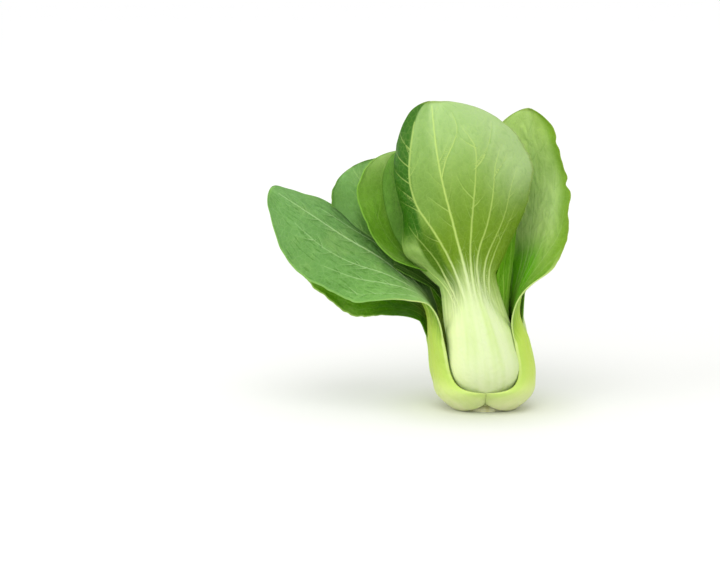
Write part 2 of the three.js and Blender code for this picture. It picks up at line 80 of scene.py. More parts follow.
OUTER = dict(mesh=FINE, width=[23, 31, 17, 15, 13], thickness=[4.4, 6.4, 8, 7, 4])
HEART = dict(mesh=SMALL, width=[5, 7, 8, 7, 6], thickness=[2.2, 3, 3.6, 3, 2.2], hug=[6, 6, 7, 9, 12])
LEAVES = [
    dict(
        name="leaf_under", azimuth=140, mesh=FINE,
        midrib=[(17.5, 0, 0), (25, 0, 4.5), (31, 0, 17), (32, 4, 36), (34, 10, 51),
                (50, 22, 68), (66, 40, 82), (82, 55, 97)],
        width=[16, 20, 20, 16, 13], thickness=[4.4, 6, 8, 7, 4], hug=[13, 22, 40, 40, 40],
        blade=[28, 29], cup=[(-300, -300), (-60, -70), (-50, -60)], twist=[-20, -30, -30], wave=(1.6, 3, 0.4),
        widest=(0.52, 0.45),
    ),
    dict(
        OUTER, name="leaf_right", azimuth=-3,
        midrib=[(17.5, 0, 0), (25.6, 0, 7), (28, 0, 18), (24.5, 0, 38), (18.7, 2, 55),
                (25, 12, 86), (27, 18, 122), (23, 20, 163)],
        hug=[13, 20.5, 55, 80, 60],
        blade=[24, 34], cup=[(-200, 50), (-60, 50), (-50, 40)], twist=[40, 46, 42], wave=(1.4, 4, 2.2),
        shoulder=(3.6, 2.2), widest=(0.41, 0.52), blunt=2.6,
    ),
    dict(
        OUTER, name="leaf_left", azimuth=183,
        midrib=[(17.5, 0, 0), (25.6, 0, 7), (28.5, 0, 18), (31, 0, 38), (33.5, 0, 57),
                (51, 0, 76), (78, -2, 95), (117, -4, 121)],
        hug=[13, 20.5, 55, 120, 60],
        blade=[25, 37], cup=[(-300, -300), (-40, -90), (-36, -70)], twist=[-26, -38, -34], wave=(1.6, 3, 1.2),
        blunt=2.8,
    ),
    dict(
        name="leaf_back_right", azimuth=40, mesh=MIDDLE,
        midrib=[(15, 0, 3), (20, 0, 7), (25.5, 0, 20), (26, 1, 40), (27, 4, 58),
                (36, 14, 82), (45, 22, 108), (50, 25, 132)],
        width=[13, 17, 19, 17, 13], thickness=[4, 5, 8, 7, 4], hug=[11, 15, 22, 26, 28],
        blade=[34, 34], cup=[(80, 80), (70, 70), (-200, -200)], twist=[4, 8, 8], wave=(1.6, 3, 4),
    ),
    dict(
        name="leaf_front", azimuth=270, mesh=FINE,
        midrib=[(14.5, 0, 4), (19, 0, 8), (26, 0, 21), (24.5, -3, 43), (18.5, -9, 68),
                (21, -17, 99), (19, -26, 135), (5, -30, 169)],
        width=[12, 17, 22, 20, 16], thickness=[4, 5, 9, 8, 4.6], hug=[11, 15, 20, 24, 26],
        blade=[34, 51], cup=[(60, 60), (60, 85), (60, 80)], twist=[0, -4, -6], wave=(1, 3, 0.6),
        shoulder=(2.2, 2), widest=(0.42, 0.6), neck_end=0.05, blunt=2.3, fold=(0.46, 12),
    ),
    dict(
        name="leaf_back", azimuth=95, mesh=MIDDLE,
        midrib=[(14, 0, 4), (18, 0, 8), (23, 0, 21), (23, 1, 42), (22, 3, 62),
                (32, 4, 90), (43, 6, 121), (42, 8, 150)],
        width=[12, 16, 20, 18, 14], thickness=[4, 5, 8, 7, 4], hug=[11, 14, 18, 22, 26],
        blade=[36, 35], cup=[(70, 70), (60, 60), (50, 50)], twist=[0, 4, 8], wave=(1.5, 3, 5),
    ),
    dict(
        name="leaf_back_left", azimuth=140, mesh=MIDDLE,
        midrib=[(11, 0, 8), (13, 0, 14), (14.5, 0, 26), (17, 3, 46), (26, 8, 67),
                (43, 17, 92), (59, 26, 114), (70, 30, 130)],
        width=[8, 10, 11, 10.5, 10], thickness=[3, 4, 5.5, 5, 3.4], hug=[8, 10, 13, 18, 30],
        blade=[30, 25], cup=[(90, 90), (80, 80), (60, 60)], twist=[-30, -48, -48], wave=(1.4, 3, 2),
    ),
    dict(
        name="leaf_inner_left", azimuth=195, mesh=COARSE,
        midrib=[(11, 0, 8), (13, 0, 14), (14.5, -1, 26), (14, -6, 44), (15.6, -11, 62),
                (31, -22, 90), (37, -26, 118), (39, -29, 140)],
        width=[7, 9, 9.5, 9, 8.5], thickness=[3, 4, 5.5, 5, 3.4], hug=[8, 10, 13, 18, 30],
        blade=[23, 34], cup=[(60, 60), (60, 80), (50, 70)], twist=[-66, -80, -84], wave=(1.2, 3, 3),
        widest=(0.52, 0.6),
    ),
    dict(
        name="leaf_inner_right", azimuth=330, mesh=COARSE,
        midrib=[(11, 0, 8), (13, 0, 14), (14.2, 0, 26), (13, 1, 44), (12, 4, 62),
                (12, 11, 88), (12, 16, 116), (10, 16, 140)],
        width=[7, 10, 11, 10, 9], thickness=[3, 4, 5, 4.5, 3.4], hug=[8, 10, 13, 18, 30],
        blade=[23, 23], cup=[(40, 40), (36, 36), (30, 30)], twist=[20, 40, 40], wave=(1.2, 3, 1),
    ),
    dict(
        HEART, name="heart_front", azimuth=262,
        midrib=[(7.6, 0, 12), (8.2, 0, 16), (8.8, 0, 26), (8.6, 0, 42), (8, -1, 56),
                (10, -3, 74), (9, -5, 94), (2, -8, 110)],
        blade=[16, 16], cup=[(18, 18), (18, 18), (16, 16)], wave=(0.8, 3, 0),
    ),
    dict(
        HEART, name="heart_back", azimuth=80,
        midrib=[(7.6, 0, 12), (8.2, 0, 16), (8.8, 0, 26), (8.6, 0, 42), (9, 1, 56),
                (12, 2, 74), (13, 3, 92), (7, 4, 106)],
        blade=[15, 15], cup=[(20, 20), (18, 18), (14, 14)], wave=(0.8, 3, 2),
    ),
    dict(
        name="heart_tip", azimuth=170, mesh=SMALL,
        midrib=[(3.2, 0, 15), (3.4, 0, 19), (3.6, 0, 28), (3.4, 0, 40), (3.2, 0, 50),
                (3.4, 0, 62), (3, 0, 74), (0, 0, 84)],
        width=[2.4, 3, 3.4, 3.2, 3], thickness=[1.6, 1.9, 2.2, 2, 1.6], hug=[5, 5, 6, 7, 8],
        blade=[6.5, 6.5], cup=[(8, 8), (8, 8), (8, 8)], wave=(0.3, 3, 0),
    ),
]


def through(knots, values):
    """A smooth curve through values at knots, as in the CAD source."""
    knots, values = np.array(knots, float), np.array(values, float)
    step = np.diff(knots)
    chord = np.diff(values) / step
    inner = (chord[:-1] * step[1:] + chord[1:] * step[:-1]) / (step[:-1] + step[1:])
    slopes = np.concatenate([[1.5 * chord[0] - 0.5 * inner[0]], inner, [1.5 * chord[-1] - 0.5 * inner[-1]]])

    def at(x):
        x = np.asarray(x, float)
        i = np.clip(np.searchsorted(knots, x, side="left") - 1, 0, len(step) - 1)
        h = step[i]
        s = (x - knots[i]) / h
        return (
            (2 * s**3 - 3 * s**2 + 1) * values[i]
            + (s**3 - 2 * s**2 + s) * h * slopes[i]
            + (-2 * s**3 + 3 * s**2) * values[i + 1]
            + (s**3 - s**2) * h * slopes[i + 1]
        )

    return at


def smooth(start, end, x):
    """0 up to start, 1 from end, and a smooth step between."""
    t = np.clip((x - start) / (end - start), 0, 1)
    return t * t * (3 - 2 * t)


def lerp(a, b, t):
    return a + (b - a) * t


def unit(vectors):
    return vectors / np.linalg.norm(vectors, axis=-1, keepdims=True)


def walked(points):
    """How far along a line of points each of them lies."""
    return np.concatenate([[0], np.cumsum(np.linalg.norm(np.diff(points, axis=0), axis=1))])


UP = np.array([0.0, 0.0, 1.0])


class Leaf:
    """The surface of one leaf, read at places along it (0 to 2) and across it (-1 to 1)."""

    def __init__(self, name, azimuth, mesh, midrib, width, thickness, hug, blade, cup, wave, twist=(0, 0, 0),
                 shoulder=(SHOULDER, SHOULDER), widest=(WIDEST_AT, WIDEST_AT), neck_end=0, blunt=2, fold=None):
        self.name, self.mesh, self.blade, self.width, self.wave = name, mesh, blade, width, wave
        self.shoulder, self.widest, self.neck_end, self.blunt, self.fold = shoulder, widest, neck_end, blunt, fold
        self.size = min(1.0, blade[0] / FULL_BLADE)
        turn = math.radians(azimuth)
        self.out = np.array([math.cos(turn), math.sin(turn), 0])
        self.across = np.array([-math.sin(turn), math.cos(turn), 0])
        self.curve = [through(STATIONS, [place[k] for place in midrib]) for k in range(3)]
        self.stalk_width = through(STATIONS[:NECK + 1], width)
        self.middle = through(STATIONS, [*thickness, *MIDRIB_THICKNESS])
        bends = [[*hug, *(radii[side] for radii in cup)] for side in (0, 1)]
        self.curvature = [through(STATIONS, [1 / radius for radius in radii]) for radii in bends]
        self.twist = through(STATIONS, [*[0] * NECK, NECK_TWIST * twist[0], *twist])
        self.rib_half = through(STATIONS[NECK:], RIB_HALF_WIDTHS)
        self.blade_arc = walked(self.point(np.linspace(1, 2, ARC_STEPS)))
        self.blade_length = self.blade_arc[-1]

    def point(self, v):
        v = np.asarray(v, float)
        ways = self.out, self.across, UP
        return sum(curve(v)[..., None] * way for curve, way in zip(self.curve, ways))

    def widths(self, v):
        """Half-widths to the left and to the right, as columns."""
        return [self.half_width(v, side)[:, None] for side in (0, 1)]

    def half_width(self, v, side):
        share, widest, neck = v - 1, self.widest[side], self.width[NECK] / self.blade[side]
        below = np.clip(1 - (share - self.neck_end) / (widest - self.neck_end), 0, 1)
        above = np.clip((share - widest) / (1 - widest), 0, 1)
        low = 1 - (1 - neck) * below ** self.shoulder[side]
        high = np.sqrt(np.clip(1 - above ** self.blunt, 0, 1))
        blade = self.blade[side] * np.where(share < widest, low, high)
        return np.where(v <= 1, self.stalk_width(np.minimum(v, 1)), blade)

    def arc(self, v):
        """Distance from the neck along the midrib, negative on the stalk."""
        below = np.linalg.norm(self.point(np.minimum(v, 1)) - self.point(1.0), axis=-1)
        return np.where(v >= 1, np.interp(v, np.linspace(1, 2, ARC_STEPS), self.blade_arc), -below)

    def directions(self, v):
        """At each row: the way along the leaf, the way across it and the way to its inner side."""
        tangent = unit(self.point(v + 1e-3) - self.point(v - 1e-3))
        side = unit(self.across - (tangent @ self.across)[:, None] * tangent)
        face = np.cross(tangent, side)
        roll = np.radians(self.twist(v))[:, None]
        level = (1 - smooth(*LEVEL_ROWS, v))[:, None]
        b = side * np.cos(roll) + face * np.sin(roll)
        n = np.cross(tangent, b)
        b = unit(lerp(b, self.across, level))
        n = lerp(n, -self.out, level)
        return tangent, b, unit(n - (n * b).sum(1, keepdims=True) * b)

    def read(self, v, q, grow=0.0, relief=(0, 0, 0)):
        """Inner and outer face on the grid of v by q, both larger by grow.

        relief gives the lift of the outer face, the shift of both, and how far the margin is drawn in.
        """
        lift, shift, cut = relief
        tangent, b, n = self.directions(v)
        right = q >= 0
        k = np.where(right, self.curvature[1](v)[:, None], self.curvature[0](v)[:, None])
        w = np.where(right, self.widths(v)[1], self.widths(v)[0])
        u = q * (w + grow) - np.sign(q) * np.abs(q) ** CUT_POWER * cut
        bend = k * u
        reach = np.sin(bend) / k
        rise = (1 - np.cos(bend)) / k
        if self.fold:
            place, radius = self.fold
            tight = lerp(k, 1 / radius, smooth(*FOLD_ROWS, v)[:, None])
            start = -place * w
            past = (u < start) & np.broadcast_to(v[:, None] > FOLD_ROWS[0], u.shape)
            turned = k * start + tight * (u - start)
            folded_reach = np.sin(k * start) / k + (np.sin(turned) - np.sin(k * start)) / tight
            folded_rise = (1 - np.cos(k * start)) / k + (np.cos(k * start) - np.cos(turned)) / tight
            reach, rise = np.where(past, folded_reach, reach), np.where(past, folded_rise, rise)
            bend = np.where(past, turned, bend)
        height, count, phase = self.wave
        turns = 2 * math.pi * count * (v[:, None] - 1) + phase + RIPPLE_LAG * np.sign(q)
        ripple = height * smooth(*RIPPLE_ROWS, v)[:, None] * np.abs(q) ** RIPPLE_POWER * np.sin(turns)
        middle = self.middle(v)[:, None]
        edge = lerp(STALK_MARGIN, BLADE_THICKNESS, smooth(*MARGIN_ROWS, v))[:, None]
        on_blade = smooth(*MIDRIB_ROWS, v)[:, None]
        share = np.where(
            v[:, None] > 1,
            np.minimum(1, self.rib_half(np.maximum(v, 1))[:, None] / np.maximum(w, 0.1)),
            lerp(1, RIB_HALF_WIDTHS[0] / w, on_blade),
        )
        roundness = lerp(STALK_ROUNDNESS, MIDRIB_ROUNDNESS, on_blade)
        swell = edge + (middle - edge) * np.clip(1 - (q / share) ** 2, 0, 1) ** roundness
        outward = -n[:, None] * np.cos(bend)[..., None] + b[:, None] * np.sin(bend)[..., None]
        foot = FOOT_RISE * self.width[0] / WIDEST_FOOT * (1 - smooth(0, FOOT_END, v))[:, None] * np.abs(q) ** 3
        centre = self.point(v)[:, None] + foot[..., None] * UP
        inner = centre + n[:, None] * (middle + rise + ripple)[..., None] + b[:, None] * reach[..., None]
        inner = inner - outward * np.asarray(shift)[..., None]
        outer = inner + outward * (swell + lift + grow)[..., None]
        inner = inner - outward * grow
        rim = unit(b[:, None] * np.cos(bend)[..., None] + n[:, None] * np.sin(bend)[..., None])
        return {"inner": inner, "outer": outer, "swell": swell, "rim": rim, "tangent": tangent}


def grid(stalk_rows, lower_rows, tip_rows, columns):
    """Places along and across a leaf. The rows lie closer and closer towards the tip."""
    stalk = np.arange(stalk_rows) / stalk_rows
    lower = 1 + WIDEST_AT * np.arange(lower_rows) / lower_rows
    tip = 1 + WIDEST_AT + (1 - WIDEST_AT) * np.sin(np.linspace(0, TIP_ANGLE, tip_rows + 1))
    return np.concatenate([stalk, lower, tip]), np.linspace(-1, 1, columns)


# Veins. A vein is a line of points (distance across, distance along the blade) with a strength at each point.
LINE_POINTS = 30


def bezier(p0, p1, p2, p3, count):
    t = np.linspace(0, 1, count)[:, None]
    p0, p1, p2, p3 = (np.array(p, float) for p in (p0, p1, p2, p3))
    return (1 - t) ** 3 * p0 + 3 * (1 - t) ** 2 * t * p1 + 3 * (1 - t) * t**2 * p2 + t**3 * p3


def drawn(points, length):
    """A smooth line through points given as (millimetres from the midrib, share of the blade's length)."""
    points = np.array(points, float) * (1, length)
    places = walked(points)
    at = np.linspace(0, places[-1], LINE_POINTS)
    return np.stack([through(places, points[:, k])(at) for k in (0, 1)], 1)


# Where the main veins of each half of a blade end: share of the half-width, and share of the blade's length.
MAIN_VEIN_ENDS = [(0.4, 0.9), (0.72, 0.72), (0.9, 0.5), (0.97, 0.3)]
FIRST_STRAND = 1.6  # how far from the midrib the first main vein leaves the stalk, and the step to the next
STRAND_STEP = 2.3
MIDRIB_START = -16  # where on the stalk the midrib and the first main vein start, and the step to the next
STRAND_START = -15
STRAND_START_STEP = 1.5
FIRST_BRANCH = 30  # how far along a main vein its first side vein leaves it, and the step to the next
BRANCH_STEP = 11.0
CLOSE_BRANCH_STEPS = {"leaf_left": 7.0}
BRANCH_LENGTHS = (7, 13)
BRANCH_END = 5
BRANCH_ANGLE = math.radians(40)

# The veins of the leaf that faces the camera: strength at the start and at the end, and the way they take.
FRONT_VEINS = [
    (1.0, 0.45, [(0, -0.2), (0, 0.3), (0, 0.65), (0, 0.97)]),
    (0.9, 0.25, [(1.6, -0.14), (4, 0.15), (9.5, 0.33), (14.9, 0.475), (18.7, 0.6), (20.4, 0.73), (15, 0.84)]),
    (0.85, 0.2, [(4, -0.12), (8, 0.15), (17.6, 0.31), (25, 0.46), (28.9, 0.57), (34.7, 0.72)]),
    (0.8, 0.16, [(7, -0.1), (11, 0.1), (21.7, 0.24), (29, 0.34), (34.7, 0.44), (40.7, 0.54)]),
    (0.7, 0.15, [(9.5, -0.07), (13, 0.07), (20.6, 0.17), (29, 0.27), (36, 0.35)]),
    (0.9, 0.4, [(-2.2, -0.14), (-5.5, 0.12), (-7.8, 0.24), (-11.5, 0.36), (-16, 0.48), (-16.8, 0.6),
                (-14.6, 0.72), (-10, 0.9)]),
    (0.75, 0.2, [(-6, -0.1), (-11, 0.08), (-14, 0.19), (-19, 0.3), (-25, 0.39)]),
    (0.65, 0.15, [(-9, -0.07), (-14, 0.06), (-20, 0.13), (-25, 0.21)]),
]
FRONT_FORKS = [
    (0.65, 0.3, [(0.5, 0.6), (4, 0.68), (9, 0.76), (12, 0.83), (10.5, 0.92)]),
    (0.6, 0.2, [(18.8, 0.61), (24, 0.66), (28, 0.74), (31, 0.86)]),
    (0.5, 0.15, [(28, 0.54), (33, 0.59), (38, 0.67)]),
    (0.5, 0.15, [(0, 0.42), (-5, 0.47), (-9, 0.52)]),
    (0.5, 0.15, [(14, 0.45), (10, 0.52), (8, 0.6)]),
    (0.5, 0.2, [(-16.8, 0.52), (-21, 0.56), (-26, 0.6)]),
    (0.5, 0.2, [(-16.8, 0.6), (-21, 0.64), (-26, 0.69)]),
    (0.5, 0.2, [(-15.5, 0.68), (-20, 0.73), (-24, 0.79)]),
    (0.5, 0.2, [(-13.5, 0.76), (-17, 0.81), (-20, 0.87)]),
    (0.5, 0.2, [(-15, 0.45), (-20, 0.49), (-26, 0.52)]),
]

# The veins of the leaf that droops to the left, whose upper face shows.
LEFT_VEINS = [
    (1.0, 0.35, [(0, -0.2), (0, 0.3), (0, 0.65), (0, 0.95)]),
    (0.95, 0.3, [(-1.6, -0.14), (-4.5, 0.12), (-8.5, 0.3), (-10, 0.5), (-9, 0.72)]),
    (0.5, 0.15, [(-4, -0.12), (-9, 0.08), (-15, 0.2), (-19, 0.36), (-21, 0.5)]),
    (0.75, 0.2, [(1.8, -0.14), (5, 0.12), (10, 0.3), (14, 0.46), (15, 0.62), (12, 0.8)]),
    (0.8, 0.2, [(4, -0.12), (9, 0.1), (17, 0.26), (23, 0.42), (25, 0.56)]),
    (0.5, 0.15, [(7, -0.1), (14, 0.06), (23, 0.18), (30, 0.3), (33, 0.4)]),
]
MAIN_VEINS = {"leaf_front": FRONT_VEINS, "leaf_left": LEFT_VEINS}
FORKS = {"leaf_front": FRONT_FORKS}


def veins_by_hand(leaf, table):
    return [(drawn(points, leaf.blade_length), start, end) for start, end, points in table.get(leaf.name, [])]


def main_veins(leaf, rng):
    """The midrib and the veins that leave the stalk beside it, with their strength at both ends."""
    if leaf.name in MAIN_VEINS:
        return veins_by_hand(leaf, MAIN_VEINS)
    length, size = leaf.blade_length, leaf.size
    midrib = np.linspace(MIDRIB_START * size, 0.98 * length, LINE_POINTS)
    lines = [(np.stack([np.zeros(LINE_POINTS), midrib], 1), 1.0, 0.35)]
    for side, sign in ((0, -1), (1, 1)):
        for k, (q_end, t_end) in enumerate(MAIN_VEIN_ENDS):
            t_end = t_end * rng.uniform(0.95, 1.04)
            x_end = sign * q_end * float(leaf.half_width(np.array(1 + t_end), side))
            x_start = sign * (FIRST_STRAND + STRAND_STEP * k) * size
            y_start, y_end = STRAND_START * size + STRAND_START_STEP * k, t_end * length
            rise = y_end - y_start
            path = bezier(
                (x_start, y_start),
                (x_start * 1.25, y_start + 0.36 * rise),
                (x_end * rng.uniform(0.86, 1.0), y_end - rng.uniform(0.3, 0.42) * rise),
                (x_end, y_end),
                26,
            )
            lines.append((path, 0.85 - 0.1 * k, 0.2))
    return lines


def side_veins(leaf, mains, rng):
    """Short veins that leave the main ones to the left and right by turns."""
    lines = veins_by_hand(leaf, FORKS)
    step = CLOSE_BRANCH_STEPS.get(leaf.name, BRANCH_STEP)
    for path, _, _ in mains:
        places = walked(path)
        at = FIRST_BRANCH * leaf.size + rng.uniform(0, 8)
        turn = rng.choice([-1, 1])
        while at < places[-1] - BRANCH_END:
            spot = np.array([np.interp(at, places, path[:, k]) for k in (0, 1)])
            ahead = np.array([np.interp(at + 2, places, path[:, k]) for k in (0, 1)]) - spot
            ahead /= np.linalg.norm(ahead)
            angle = turn * BRANCH_ANGLE * rng.uniform(0.75, 1.2)
            away = np.array([ahead[0] * math.cos(angle) - ahead[1] * math.sin(angle),
                             ahead[0] * math.sin(angle) + ahead[1] * math.cos(angle)])
            reach = rng.uniform(*BRANCH_LENGTHS) * leaf.size
            bend = spot + away * reach * 0.6
            end = bend + (away + ahead * 0.9) * reach * 0.35
            power = rng.uniform(0.15, 0.55)
            lines.append((bezier(spot, spot + away * reach * 0.3, bend, end, 9), power, 0.03))
            at += step * leaf.size * rng.uniform(0.6, 1.3)
            turn = -turn
    return lines


VEIN_FADE = (1.6, 3.0)  # a vein's strength is dropped between these distances from it
VEIN_REACH = 6  # no vein is looked for farther off than this
NO_VEIN = 9.0  # the distance where none is near


def line_fields(lines, x, y):
    """Signed distance from the nearest line, that line's strength, which fades aside, and plain distance."""
    signed = np.full(x.shape, NO_VEIN)
    power = np.zeros(x.shape)
    near = np.full(x.shape, NO_VEIN)
    for path, start, end in lines:
        strength = np.linspace(start, end, len(path))
        for a, b, sa, sb in zip(path[:-1], path[1:], strength[:-1], strength[1:]):
            low, high = np.minimum(a, b) - VEIN_REACH, np.maximum(a, b) + VEIN_REACH
            mask = (x > low[0]) & (x < high[0]) & (y > low[1]) & (y < high[1])
            if not mask.any():
                continue
            span = b - a
            px, py = x[mask] - a[0], y[mask] - a[1]
            t = np.clip((px * span[0] + py * span[1]) / (span @ span), 0, 1)
            distance = np.hypot(px - t * span[0], py - t * span[1])
            closer = distance < near[mask]
            where = np.argwhere(mask)[closer]
            cells = (where[:, 0], where[:, 1])
            near[cells] = distance[closer]
            signed[cells] = distance[closer] * np.sign(px * span[1] - py * span[0] + 1e-9)[closer]
            power[cells] = (sa + (sb - sa) * t)[closer]
    return signed, power * (1 - smooth(*VEIN_FADE, near)), near


def waves(x, y, rng, count, scale):
    """A gentle random surface of a few sine waves."""
    total = np.zeros(x.shape)
    for _ in range(count):
        angle, phase = rng.uniform(0, 2 * math.pi, 2)
        size = scale * rng.uniform(0.7, 1.5)
        total += np.sin((x * math.cos(angle) + y * math.sin(angle)) * 2 * math.pi / size + phase)
    return total / math.sqrt(count)


VEIN_WIDTH = 0.8
VEIN_LIFT = 0.45
SIDE_VEIN_SHARE = 0.6  # height of a side vein beside a main one
VEINS_RISE = (-14, 6)  # the veins rise out of the stalk between these distances from the neck
PUCKER = 0.6
PUCKER_REACH = 2.8
PUCKER_START = (-6, 16)
PUCKER_MARGIN = (0.9, 1)
SWELLS = dict(count=5, scale=34)
SWELL_HEIGHT = 0.5
SWELL_START = (0, 30)
STALK_RIB = 0.12
STALK_RIB_FOOT = (0.1, 0.35)
STALK_RIB_END = (-10, 8)
ROUND_EDGE = 0.45  # how far the rounded margin stands out, as a share of its thickness
MARGIN_CROWDING = 0.12  # how much closer the columns lie at the margins
UNEVEN_WAVES = (4, 7, 11, 19)
UNEVEN_DEPTH = 0.36
UNEVEN_START = (1.05, 1.3)

# Nicks and drawn-in places of the margins: side, place along the blade, depth in millimetres, half-length.
NICKS = {
    "leaf_right": [(-1, 0.66, 3.0, 0.022), (-1, 0.74, 1.5, 0.06), (-1, 0.85, 1.4, 0.02), (-1, 0.24, -4.0, 0.1)],
    "leaf_left": [(-1, 0.88, 2.6, 0.03), (1, 0.96, 1.2, 0.02)],
    "leaf_front": [(-1, 0.8, 1.5, 0.015)],
    "leaf_back_left": [(-1, 0.7, 1.5, 0.02)],
    "leaf_inner_left": [(1, 0.08, 6.0, 0.09)],
}


def margin_cuts(leaf, v, q, rng):
    """How far the margin is drawn in at each row and side: a fine uneven wave, and a few nicks."""
    cuts = np.zeros((len(v), len(q)))
    for sign in (-1, 1):
        uneven = np.zeros(len(v))
        for count in UNEVEN_WAVES:
            height, phase = rng.uniform(0.5, 1), rng.uniform(0, 6.3)
            uneven += height * np.sin(2 * math.pi * count * (v - 1) + phase) / math.sqrt(count / UNEVEN_WAVES[0])
        row = UNEVEN_DEPTH * uneven * smooth(*UNEVEN_START, v) * leaf.size
        for side, place, depth, wide in NICKS.get(leaf.name, []):
            if side == sign:
                row = row + depth * np.exp(-(((v - 1 - place) / wide) ** 2))
        cuts += np.where(np.sign(q) == sign, row[:, None], 0)
    return cuts


def ring_faces(rows, count, cap):
    """Faces between closed rings of count points, one ring a row, and the faces of cap across both ends."""
    ring = np.arange(count)
    following = (ring + 1) % count
    base = np.arange(rows - 1)[:, None] * count
    quads = np.stack([base + ring, base + following, base + count + following, base + count + ring], -1)
    last = [[point + (rows - 1) * count for point in face] for face in cap]
    return [*quads.reshape(-1, 4).tolist(), *(face[::-1] for face in cap), *last]


def leaf_mesh(leaf, seed):
    """A closed fine mesh of the leaf in millimetres, with what its material reads at each vertex."""
    rng = np.random.default_rng(seed)
    v, q = grid(*leaf.mesh)
    q = np.sign(q) * ((1 + MARGIN_CROWDING) * np.abs(q) - MARGIN_CROWDING * np.abs(q) ** 3)
    left_width, right_width = leaf.widths(v)
    x = q * np.where(q >= 0, right_width, left_width)
    y = np.broadcast_to(leaf.arc(v)[:, None], x.shape)
    mains = main_veins(leaf, rng)
    main, main_power, main_near = line_fields(mains, x, y)
    side, side_power, side_near = line_fields(side_veins(leaf, mains, rng), x, y)
    main_ridge = main_power * np.exp(-((main / VEIN_WIDTH) ** 2))
    side_ridge = SIDE_VEIN_SHARE * side_power * np.exp(-((side / VEIN_WIDTH) ** 2))
    raised = smooth(*VEINS_RISE, y)

    # Between the veins the blade is puckered, and the whole blade swells a little here and there.
    away = 1 - np.exp(-((np.minimum(main_near, side_near * 1.4) / PUCKER_REACH) ** 2))
    puckered = smooth(*PUCKER_START, y) * (1 - smooth(*PUCKER_MARGIN, np.abs(q)))
    swells = SWELL_HEIGHT * leaf.size * waves(x, y, rng, **SWELLS) * smooth(*SWELL_START, y)
    shift = -leaf.size * PUCKER * away * puckered + swells

    # The stalk has fine ribs, which fade towards the neck, the foot and the margins.
    ribs = np.cos(q * 21 + 1) + 0.5 * np.cos(q * 47)
    ribs = STALK_RIB * ribs * (1 - smooth(*STALK_RIB_END, y)) * smooth(*STALK_RIB_FOOT, v)[:, None] * (1 - np.abs(q))
    lift = leaf.size * VEIN_LIFT * (main_ridge + side_ridge) * raised + ribs
    part = leaf.read(v, q, relief=(lift, shift, margin_cuts(leaf, v, q, rng)))
    rows, columns = x.shape

    # Each row is a closed ring: inner face, right margin, outer face, left margin.
    whole = np.broadcast_to(v[:, None], x.shape), np.broadcast_to(q, x.shape)
    data = np.stack([*whole, main, main_power * raised, side, side_power * raised, away], -1)
    half = part["swell"] + lift
    middle = (part["inner"] + part["outer"]) / 2
    right = middle[:, -1] + part["rim"][:, -1] * half[:, -1:] * ROUND_EDGE
    left = middle[:, 0] - part["rim"][:, 0] * half[:, :1] * ROUND_EDGE
    points = np.concatenate([part["inner"], right[:, None], part["outer"][:, ::-1], left[:, None]], axis=1)
    under = np.concatenate([np.zeros(columns), [0.5], np.ones(columns), [0.5]])
    data = np.concatenate([data, data[:, -1:], data[:, ::-1], data[:, :1]], axis=1)
    data = np.concatenate([data, np.broadcast_to(under[None, :, None], (*data.shape[:2], 1))], axis=-1)
    count = 2 * columns
    cap = [[j, j + 1, count - j - 1, count - j] for j in range(columns - 1)]
    cap += [[columns - 1, columns, columns + 1], [count, count + 1, 0]]
    return points.reshape(-1, 3), ring_faces(rows, count + 2, cap), data.reshape(-1, len(FIELDS))


def plain_mesh(leaf, grow):
    """A coarser closed mesh of the leaf, larger by grow all round, to press others with."""
    v, q = grid(*CUTTER)
    part = leaf.read(v, q, grow=grow)
    inner, outer = part["inner"].copy(), part["outer"].copy()
    for row, way in ((0, -1), (-1, 1)):
        inner[row] += way * grow * part["tangent"][row]
        outer[row] += way * grow * part["tangent"][row]
    points = np.concatenate([inner, outer[:, ::-1]], axis=1)
    rows, count = points.shape[:2]
    cap = [[j, j + 1, count - 2 - j, count - 1 - j] for j in range(count // 2 - 1)]
    return points.reshape(-1, 3), ring_faces(rows, count, cap)


def placed(name, data, place=(0, 0, 0), ahead=None):
    """A new object in the scene. ahead is the way that a light or a camera looks."""
    thing = bpy.data.objects.new(name, data)
    thing.location = place
    if ahead is not None:
        thing.rotation_mode = "QUATERNION"
        thing.rotation_quaternion = ahead.to_track_quat("-Z", "Y")
    bpy.context.scene.collection.objects.link(thing)
    return thing


def closed(name, points, faces):
    """A Blender mesh with its faces turned outward."""
    mesh = bpy.data.meshes.new(name)
    mesh.from_pydata(points.tolist(), [], faces)
    work = bmesh.new()
    work.from_mesh(mesh)
    bmesh.ops.recalc_face_normals(work, faces=work.faces)
    if work.calc_volume(signed=True) < 0:
        bmesh.ops.reverse_faces(work, faces=work.faces)
    work.to_mesh(mesh)
    work.free()
    return mesh


def tree_of(mesh):
    points = [vertex.co for vertex in mesh.vertices]
    return BVHTree.FromPolygons(points, [tuple(face.vertices) for face in mesh.polygons])


def pressed(mesh, cutters):
    """mesh less each cutter that touches it, keeping its largest piece."""
    thing = placed("pressing", mesh)
    tools = []
    own = tree_of(mesh)
    for cutter in cutters:
        if not own.overlap(cutter["tree"]):
            continue
        tools.append(placed("cutter", cutter["mesh"]))
        step = thing.modifiers.new("press", "BOOLEAN")
        step.operation, step.solver, step.object = "DIFFERENCE", "MANIFOLD", tools[-1]
    result = bpy.data.meshes.new_from_object(thing.evaluated_get(bpy.context.evaluated_depsgraph_get()))
    for extra in (thing, *tools):
        bpy.data.objects.remove(extra)
    return largest(result)


